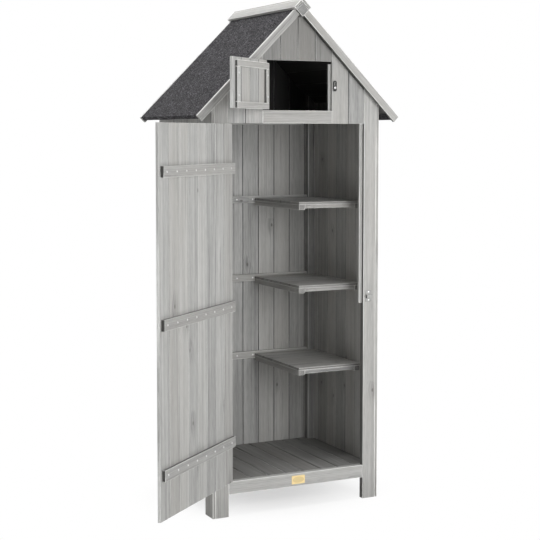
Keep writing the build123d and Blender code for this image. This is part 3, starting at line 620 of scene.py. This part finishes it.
def lay_grain(bm, axes, seed, dull, ends, seams, tones, marks, cuts, dirt):
    """Store each board's own grain, tone, sawn ends, seams, marks and dirt on its mesh."""
    grain = bm.verts.layers.float_vector.new("grain")
    board = bm.verts.layers.float_vector.new("board")
    span = bm.verts.layers.float_vector.new("span")
    sawn_end = bm.faces.layers.float.new("sawn_end")
    seam = bm.faces.layers.float.new("seam")
    draw = random.Random(seed)
    sides = {}
    for axis in axes:
        places = [v.co.dot(axis) for v in bm.verts]
        sides[axis.freeze()] = (min(places) + OUTER_MARGIN, max(places) - OUTER_MARGIN)
    for group in islands(bm):
        reach = []
        for axis in axes:
            places = [v.co.dot(axis) for v in group]
            reach.append((max(places) - min(places), (max(places) + min(places)) / 2, axis))
        reach.sort(key=lambda item: -item[0])
        start = draw.uniform(0, 40)
        heart_across = draw.uniform(-0.03, 0.03)
        heart_depth = draw.uniform(0.012, 0.06) * draw.choice((-1, 1))
        shade = (draw.uniform(*tones), draw.uniform(0, 1), dull)
        for vert in group:
            along, across, depth = [vert.co.dot(axis) - middle for size, middle, axis in reach]
            vert[grain] = (along + start, across + heart_across + start, depth + heart_depth)
            vert[board] = shade
            vert[span] = (across, reach[1][0] / 2, dirt)
        for face in {f for v in group for f in v.link_faces}:
            if abs(face.normal.dot(reach[0][2])) > END_FACING:
                face[sawn_end] = ends
            elif abs(face.normal.dot(reach[1][2])) > JOINT_FACING:
                low, high = sides[reach[1][2]]
                if low < face.calc_center_median().dot(reach[1][2]) < high:
                    face[seam] = seams
            middle = face.calc_center_median()
            cut_off = any((middle - place).dot(normal) > 0 for place, normal in cuts)
            for layer, side, share, everywhere in marks:
                if face.normal.dot(side) > MARK_FACING and (everywhere or cut_off):
                    face[bm.faces.layers.float[layer]] = share


def place_piece(bm, name, body, material, nodes=()):
    """Make an object of a mesh, set it on its body and let it stand for its nodes."""
    mesh = bpy.data.meshes.new(name)
    bm.normal_update()
    bm.to_mesh(mesh)
    bm.free()
    mesh.materials.append(material)
    mesh.shade_smooth()
    mesh.set_sharp_from_angle(angle=CREASE_ANGLE)
    piece = bpy.data.objects.new(name, mesh)
    bpy.context.scene.collection.objects.link(piece)
    even = piece.modifiers.new("even_shading", "WEIGHTED_NORMAL")
    even.keep_sharp = True
    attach(piece, body)
    if nodes:
        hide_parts(*nodes)


def dress_timber(nodes, ease, shortest, body="shed", axes=HOUSE_AXES, dull=0.0, ends=0.35, seams=0.0,
                 tones=(-1.0, 1.0), marks=(), cuts=(), dirt=0.0):
    """Replace timber nodes by boards with eased edges and their own grain.

    Each cut is a plane, as a point and a normal, that splits the faces it meets. Each mark is the layer,
    the side, the share, and whether it goes everywhere on that side or only beyond a cut.
    """
    timber = bpy.context.scene.shed_timber
    for node in nodes:
        bm = node_mesh(node)
        ease_edges(bm, ease, shortest)
        for place, normal in cuts:
            geometry = [*bm.verts, *bm.edges, *bm.faces]
            bmesh.ops.bisect_plane(bm, geom=geometry, dist=CUT_SNAP, plane_co=place, plane_no=normal)
        if cuts:
            settle_order(bm)
        lay_grain(bm, axes, node, dull, ends, seams, tones, marks, cuts, dirt)
        place_piece(bm, f"{node}_timber", body, stained_spruce(timber), (node,))


def dress_trims(nodes, share=1.0, **looks):
    """Dress posts, rails and trims, with a share of their rounding."""
    dress_timber(nodes, bpy.context.scene.shed_timber.post_ease * share, TRIM_EDGE, **looks)


def dress_boards(nodes, shortest=BOARD_EDGE, **looks):
    """Dress tongue-and-groove boards."""
    dress_timber(nodes, bpy.context.scene.shed_timber.board_ease, shortest, **looks)


def dress_metal(nodes, body, material, shortest):
    """Replace metal nodes by pieces with eased edges."""
    fittings = bpy.context.scene.shed_fittings
    for node in nodes:
        bm = node_mesh(node)
        ease_edges(bm, fittings.metal_ease, shortest)
        place_piece(bm, f"{node}_metal", body, material, (node,))


def screw_heads(node):
    """Centre, outward direction, head radius and height, length and shank radius of a node's screws."""
    bm = node_mesh(node)
    found = []
    for group in islands(bm):
        faces = {f for v in group for f in v.link_faces}
        cap = max(faces, key=lambda f: f.calc_area())
        out = cap.normal.copy()
        centre = sum((v.co for v in cap.verts), Vector()) / len(cap.verts)
        radius = max((v.co - centre).length for v in cap.verts)
        drops = []
        for vert in group:
            step = vert.co - centre
            depth = -step.dot(out)
            side = (step + out * depth).length
            drops.append((depth, side))
        length = max(depth for depth, side in drops)
        height = max(depth for depth, side in drops if side > radius * 0.9)
        shank = max(side for depth, side in drops if depth > (length + height) / 2)
        found.append((centre, out, radius, height, length, shank))
    bm.free()
    return found


def add_screw(bm, place, turn):
    """Add a pan-head screw with a cross recess and a pointed shank."""
    centre, out, radius, height, length, shank = place
    basis = out.to_track_quat("Z", "Y").to_matrix().to_4x4()
    stand = Matrix.Translation(centre) @ basis @ Matrix.Rotation(turn, 4, "Z")
    profile = [(radius * wide, -height * deep) for wide, deep in HEAD_PROFILE]
    profile += [(shank, -height), (shank, -length + shank * 1.5), (shank * 0.2, -length)]
    rings = []
    for reach, level in profile:
        ring = []
        for step in range(SCREW_SIDES):
            angle = math.tau * step / SCREW_SIDES
            point = Vector((reach * math.cos(angle), reach * math.sin(angle), level))
            ring.append(bm.verts.new(stand @ point))
        rings.append(ring)
    for upper, lower in zip(rings, rings[1:]):
        for step in range(SCREW_SIDES):
            after = (step + 1) % SCREW_SIDES
            bm.faces.new((upper[step], lower[step], lower[after], upper[after]))
    bm.faces.new(list(reversed(rings[-1])))
    wide = radius * RECESS_HALF_WIDTH
    reach = radius * RECESS_REACH
    arm = [(wide, wide), (wide, reach), (-wide, reach)]
    outline = []
    for quarter in range(4):
        outline.extend(arm)
        arm = [(-y, x) for x, y in arm]
    rim = [bm.verts.new(stand @ Vector((x, y, 0.0))) for x, y in outline]
    base = [bm.verts.new(stand @ Vector((x * RECESS_TAPER, y * RECESS_TAPER, -height * RECESS_DEPTH)))
            for x, y in outline]
    fill = []
    for ring in (rings[0], rim):
        for step in range(len(ring)):
            pair = (ring[step], ring[(step + 1) % len(ring)])
            fill.append(bm.edges.get(pair) or bm.edges.new(pair))
    bmesh.ops.triangle_fill(bm, use_beauty=True, edges=fill, normal=out)
    for step in range(len(rim)):
        after = (step + 1) % len(rim)
        bm.faces.new((rim[step], rim[after], base[after], base[step]))
    bm.faces.new(base)


class SHED_OT_posts(bpy.types.Operator):
    """Dress the corner posts and the corner boards on them"""

    bl_idname = "shed.posts"
    bl_label = "Posts"

    def execute(self, context):
        # The sides that face left carry painted shade, most of all where the door shuts
        left = -HOUSE_AXES[0]
        dress_trims(POSTS[:1], tones=(-0.5, -0.2), marks=(("seam", left, 0.3, True),))
        dress_trims(POSTS[1:2], tones=(-1.2, -0.9), marks=(("seam", left, 0.75, True),))
        # The left corner board is toned darker as painted shade under the eave
        dress_trims(CORNER_BOARDS[:1], tones=(0.8, 1.2))
        # The rear posts carry painted shade in the back corners
        dress_trims(POSTS[2:], dull=0.3, tones=(1.0, 1.4))
        dress_trims(CORNER_BOARDS[1:])
        return {"FINISHED"}


class SHED_OT_walls(bpy.types.Operator):
    """Dress the boards of the side and back walls"""

    bl_idname = "shed.walls"
    bl_label = "Walls"

    def execute(self, context):
        # The left wall is toned darker, as painted shade under the eave
        dress_boards(WALLS[:1], seams=1.0, tones=(0.0, 1.6))
        dress_boards(WALLS[1:2], seams=0.9, tones=(-3.5, 1.5))
        # The back wall carries painted shade inside the loft, above the middle of the loft floor
        loft = (Vector((0, 0, LOFT_LEVEL)), HOUSE_AXES[2])
        dress_boards(WALLS[2:], seams=0.9, tones=(-3.0, 0.6),
                     marks=(("seam", -HOUSE_AXES[1], 0.95, False),), cuts=(loft,))
        return {"FINISHED"}


class SHED_OT_battens(bpy.types.Operator):
    """Dress the battens across the walls"""

    bl_idname = "shed.battens"
    bl_label = "Battens"

    def execute(self, context):
        dress_trims(BATTENS)
        return {"FINISHED"}


class SHED_OT_floor(bpy.types.Operator):
    """Dress the sill, the bearers and the floor boards"""

    bl_idname = "shed.floor"
    bl_label = "Floor"

    def execute(self, context):
        dress_trims(FLOOR_TIMBER, tones=(-2.8, -2.2))
        # The floor boards carry painted shade under the roof and the loft
        dress_boards(("floor_boards",), dull=0.54, seams=1.0, dirt=0.95)
        return {"FINISHED"}


class SHED_OT_loft(bpy.types.Operator):
    """Dress the loft floor, its bearers and the level board under the hatch"""

    bl_idname = "shed.loft"
    bl_label = "Loft"

    def execute(self, context):
        dress_trims(LOFT_TIMBER)
        # The loft floor boards carry painted shade
        dress_boards(("loft_floor_boards",), dull=0.8, seams=1.0)
        return {"FINISHED"}


class SHED_OT_gable(bpy.types.Operator):
    """Dress the boards of the front gable and the stops of the door and the hatch"""

    bl_idname = "shed.gable"
    bl_label = "Gable"

    def execute(self, context):
        # Painted shadow of the bargeboards on the gable boards, above slopes that meet under the ridge
        peak = Vector((0, 0, cad_box[1][2] - BARGE_SHADOW_DROP))
        slopes = ((peak, LEFT_SLOPE_AXES[2]), (peak, RIGHT_SLOPE_AXES[2]))
        barge_shadow = (("seam", -HOUSE_AXES[1], 0.75, False),)
        dress_boards(GABLE[:2], GABLE_EDGE, seams=1.0, marks=barge_shadow, cuts=slopes)
        # The top boards also carry painted shade under the roof's overhang
        dress_boards(GABLE[2:], GABLE_EDGE, dull=0.5, seams=1.0, marks=barge_shadow, cuts=slopes)
        dress_trims(STOPS)
        return {"FINISHED"}


class SHED_OT_shelves(bpy.types.Operator):
    """Dress the shelves and the rails under them"""

    bl_idname = "shed.shelves"
    bl_label = "Shelves"

    def execute(self, context):
        dress_boards(SHELF_BOARDS, TRIM_EDGE, seams=0.9, dirt=0.4)
        dress_trims(SHELF_FRAMES, 0.6, tones=(1.5, 2.1))
        return {"FINISHED"}


class SHED_OT_roof_timber(bpy.types.Operator):
    """Dress the ridge beam, the ridge caps, the roof boards and the bargeboards"""

    bl_idname = "shed.roof_timber"
    bl_label = "Roof timber"

    def execute(self, context):
        left = ("bargeboard_front_left", "bargeboard_rear_left")
        right = ("bargeboard_front_right", "bargeboard_rear_right", "ridge_beam")
        dress_trims(("ridge_cap_left",), axes=LEFT_SLOPE_AXES, tones=(-2.0, -1.6))
        dress_trims(("ridge_cap_right",), axes=RIGHT_SLOPE_AXES, tones=(-2.0, -1.6))
        # The top faces of the left bargeboards are painted pale as a highlight, and the undersides carry
        # painted shade
        dress_trims(left, axes=LEFT_SLOPE_AXES, tones=(1.0, 1.4),
                    marks=(("worn", LEFT_SLOPE_AXES[2], 3.0, True),
                           ("seam", -LEFT_SLOPE_AXES[2], 0.8, True)))
        dress_trims(right, axes=RIGHT_SLOPE_AXES, tones=(0.0, 0.6),
                    marks=(("seam", -RIGHT_SLOPE_AXES[2], 0.8, True),))
        # The roof boards carry painted shade, which keeps the loft dark
        dress_boards(("roof_deck_left",), TRIM_EDGE, axes=LEFT_SLOPE_AXES, dull=0.95)
        dress_boards(("roof_deck_right",), TRIM_EDGE, axes=RIGHT_SLOPE_AXES, dull=0.95)
        return {"FINISHED"}


class SHED_OT_felt(bpy.types.Operator):
    """Dress the felt on both slopes"""

    bl_idname = "shed.felt"
    bl_label = "Felt"

    def execute(self, context):
        roof = context.scene.shed_roof
        for node in ("roof_felt_left", "roof_felt_right"):
            bm = node_mesh(node)
            ease_edges(bm, roof.felt_ease, FELT_EDGE)
            place_piece(bm, f"{node}_sheet", "shed", mineral_felt(roof), (node,))
        return {"FINISHED"}


class SHED_OT_door(bpy.types.Operator):
    """Dress the door's boards and ledges"""

    bl_idname = "shed.door"
    bl_label = "Door"

    def execute(self, context):
        axes = turned_axes("door_swing")
        # The free edges of the boards are paled as rubbed edges, partly a painted highlight
        dress_boards(("door_boards",), body="door", axes=axes, seams=0.5,
                     marks=(("worn", axes[0], 0.8, True),))
        dress_trims(("door_ledges",), 0.5, body="door", axes=axes, dull=0.28, ends=1.0,
                    marks=(("seam", axes[2], 0.6, True),))
        return {"FINISHED"}


class SHED_OT_hatch(bpy.types.Operator):
    """Dress the hatch's boards and frame"""

    bl_idname = "shed.hatch"
    bl_label = "Hatch"

    def execute(self, context):
        axes = turned_axes("hatch_swing")
        # The free edges of the boards are paled as rubbed edges, partly a painted highlight
        dress_boards(("hatch_boards",), body="hatch", axes=axes, seams=1.0,
                     marks=(("worn", axes[0], 0.8, True),))
        dress_trims(("hatch_frame",), 0.7, body="hatch", axes=axes, marks=(("seam", axes[0], 0.8, True),))
        return {"FINISHED"}


class SHED_OT_hinges(bpy.types.Operator):
    """Dress the hinge leaves and pins"""

    bl_idname = "shed.hinges"
    bl_label = "Hinges"

    def execute(self, context):
        zinc = zinc_steel(context.scene.shed_fittings, True)
        dress_metal(("frame_hinge_leaves", "hinge_pins"), "shed", zinc, LONG_METAL_EDGE)
        dress_metal(("door_hinge_leaves",), "door", zinc, LONG_METAL_EDGE)
        dress_metal(("hatch_hinge_leaves",), "hatch", zinc, LONG_METAL_EDGE)
        return {"FINISHED"}


class SHED_OT_bolt(bpy.types.Operator):
    """Dress the barrel bolt of the door and its keeper"""

    bl_idname = "shed.bolt"
    bl_label = "Bolt"

    def execute(self, context):
        zinc = zinc_steel(context.scene.shed_fittings, True)
        dress_metal(("bolt_keeper",), "shed", zinc, SHORT_METAL_EDGE)
        dress_metal(("bolt_plate",), "door", zinc, SHORT_METAL_EDGE)
        dress_metal(("bolt_rod",), "bolt", zinc, LONG_METAL_EDGE)
        return {"FINISHED"}


class SHED_OT_turn_button(bpy.types.Operator):
    """Dress the turn button of the hatch"""

    bl_idname = "shed.turn_button"
    bl_label = "Turn button"

    def execute(self, context):
        coat = coated_steel(context.scene.shed_fittings)
        dress_metal(("turn_button",), "button", coat, ANY_EDGE)
        return {"FINISHED"}


class SHED_OT_plate(bpy.types.Operator):
    """Dress the bare plate on the sill"""

    bl_idname = "shed.plate"
    bl_label = "Plate"

    def execute(self, context):
        fittings = context.scene.shed_fittings
        bm = node_mesh("name_plate")
        ease_edges(bm, fittings.metal_ease, SHORT_METAL_EDGE)
        worn = bm.faces.layers.float["worn"]
        edges = [v.co.x for v in bm.verts]
        middle = (min(edges) + max(edges)) / 2
        # Tarnish has gathered on and inside the oval rim
        for face in bm.faces:
            if max(abs(v.co.x - middle) for v in face.verts) < max(edges) - middle - PLATE_MARGIN:
                face[worn] = PLATE_TARNISH
        place_piece(bm, "name_plate_metal", "shed", satin_brass(fittings), ("name_plate",))
        return {"FINISHED"}


class SHED_OT_screws(bpy.types.Operator):
    """Set a cross-head screw wherever the solids have one"""

    bl_idname = "shed.screws"
    bl_label = "Screws"

    def execute(self, context):
        zinc = zinc_steel(context.scene.shed_fittings, False)
        groups = {
            "shed": ("batten_screws", "frame_screws", "turn_button_screw"),
            "door": ("door_ledge_screws", "door_screws"),
            "hatch": ("hatch_screws",),
        }
        for body, nodes in groups.items():
            for node in nodes:
                draw = random.Random(node)
                bm = bmesh.new()
                for place in screw_heads(node):
                    add_screw(bm, place, draw.uniform(0, math.tau))
                bmesh.ops.recalc_face_normals(bm, faces=bm.faces)
                place_piece(bm, f"{node}_heads", body, zinc, (node,))
        return {"FINISHED"}


class SHED_OT_stage(bpy.types.Operator):
    """Set the floor, the light and the camera"""

    bl_idname = "shed.stage"
    bl_label = "Stage"

    def execute(self, context):
        settings = context.scene.shed_stage
        scene = context.scene
        scene.view_settings.view_transform = "Standard"
        self.lay_floor(scene, settings)
        self.light_room(scene, settings)
        for name, stand in BOX_PLACES.items():
            lamp = bpy.data.lights.new(name, "AREA")
            lamp.size = BOX_SIZE
            lamp.energy = getattr(settings, name)
            box = bpy.data.objects.new(name, lamp)
            box.location = stand
            box.rotation_euler = (BOX_AIM - Vector(stand)).to_track_quat("-Z", "Y").to_euler()
            scene.collection.objects.link(box)
        view = bpy.data.cameras.new("camera")
        view.sensor_width = SENSOR_WIDTH
        view.lens = settings.focal_length
        view.shift_y = CAMERA_SHIFT
        camera = bpy.data.objects.new("camera", view)
        camera.location = CAMERA_PLACE
        camera.rotation_euler = (math.radians(CAMERA_TILT), 0.0, math.radians(CAMERA_TURN))
        scene.collection.objects.link(camera)
        scene.camera = camera
        return {"FINISHED"}

    def lay_floor(self, scene, settings):
        """A wide pale floor."""
        bm = bmesh.new()
        bmesh.ops.create_grid(bm, x_segments=8, y_segments=8, size=FLOOR_REACH)
        mesh = bpy.data.meshes.new("floor")
        bm.to_mesh(mesh)
        bm.free()
        mesh.materials.append(matt_paper(settings))
        floor = bpy.data.objects.new("floor", mesh)
        scene.collection.objects.link(floor)

    def light_room(self, scene, settings):
        """An even room that shows white to the eye."""
        world = bpy.data.worlds.new("room")
        world.use_nodes = True
        tree = world.node_tree
        tree.nodes.clear()
        seen = seen_by_eye(tree)
        dim = add(tree, "ShaderNodeBackground", {"Color": (1, 1, 1, 1), "Strength": settings.room_light})
        white = add(tree, "ShaderNodeBackground", {"Color": (1, 1, 1, 1), "Strength": 1.0})
        mixed = add(tree, "ShaderNodeMixShader", {0: seen, 1: dim, 2: white})
        add(tree, "ShaderNodeOutputWorld", {"Surface": mixed})
        scene.world = world


PIECES = (
    SHED_OT_posts, SHED_OT_walls, SHED_OT_battens, SHED_OT_floor, SHED_OT_loft, SHED_OT_gable,
    SHED_OT_shelves, SHED_OT_roof_timber, SHED_OT_felt, SHED_OT_door, SHED_OT_hatch,
    SHED_OT_hinges, SHED_OT_bolt, SHED_OT_turn_button, SHED_OT_plate, SHED_OT_screws, SHED_OT_stage,
)


class SHED_PT_panel(bpy.types.Panel):
    """Settings and pieces of the shed"""

    bl_idname = "SHED_PT_panel"
    bl_label = "Garden shed"
    bl_space_type = "VIEW_3D"
    bl_region_type = "UI"
    bl_category = "Shed"

    def draw(self, context):
        layout = self.layout
        for group in GROUPS:
            settings = getattr(context.scene, group)
            box = layout.box()
            for name in settings.__annotations__:
                box.prop(settings, name)
        for piece in PIECES:
            layout.operator(piece.bl_idname)


GROUPS = {
    "shed_timber": ShedTimberSettings,
    "shed_roof": ShedRoofSettings,
    "shed_fittings": ShedFittingSettings,
    "shed_stage": ShedStageSettings,
}


def register():
    """Register the settings, the operators and the panel."""
    for name, group in GROUPS.items():
        bpy.utils.register_class(group)
        setattr(bpy.types.Scene, name, PointerProperty(type=group))
    for piece in PIECES:
        bpy.utils.register_class(piece)
    bpy.utils.register_class(SHED_PT_panel)


def unregister():
    """Undo register."""
    bpy.utils.unregister_class(SHED_PT_panel)
    for piece in reversed(PIECES):
        bpy.utils.unregister_class(piece)
    for name, group in GROUPS.items():
        delattr(bpy.types.Scene, name)
        bpy.utils.unregister_class(group)


def main():
    register()
    for piece in PIECES:
        operator = getattr(bpy.ops.shed, piece.bl_idname.split(".")[1])
        operator()


if __name__ == "__main__":
    main()
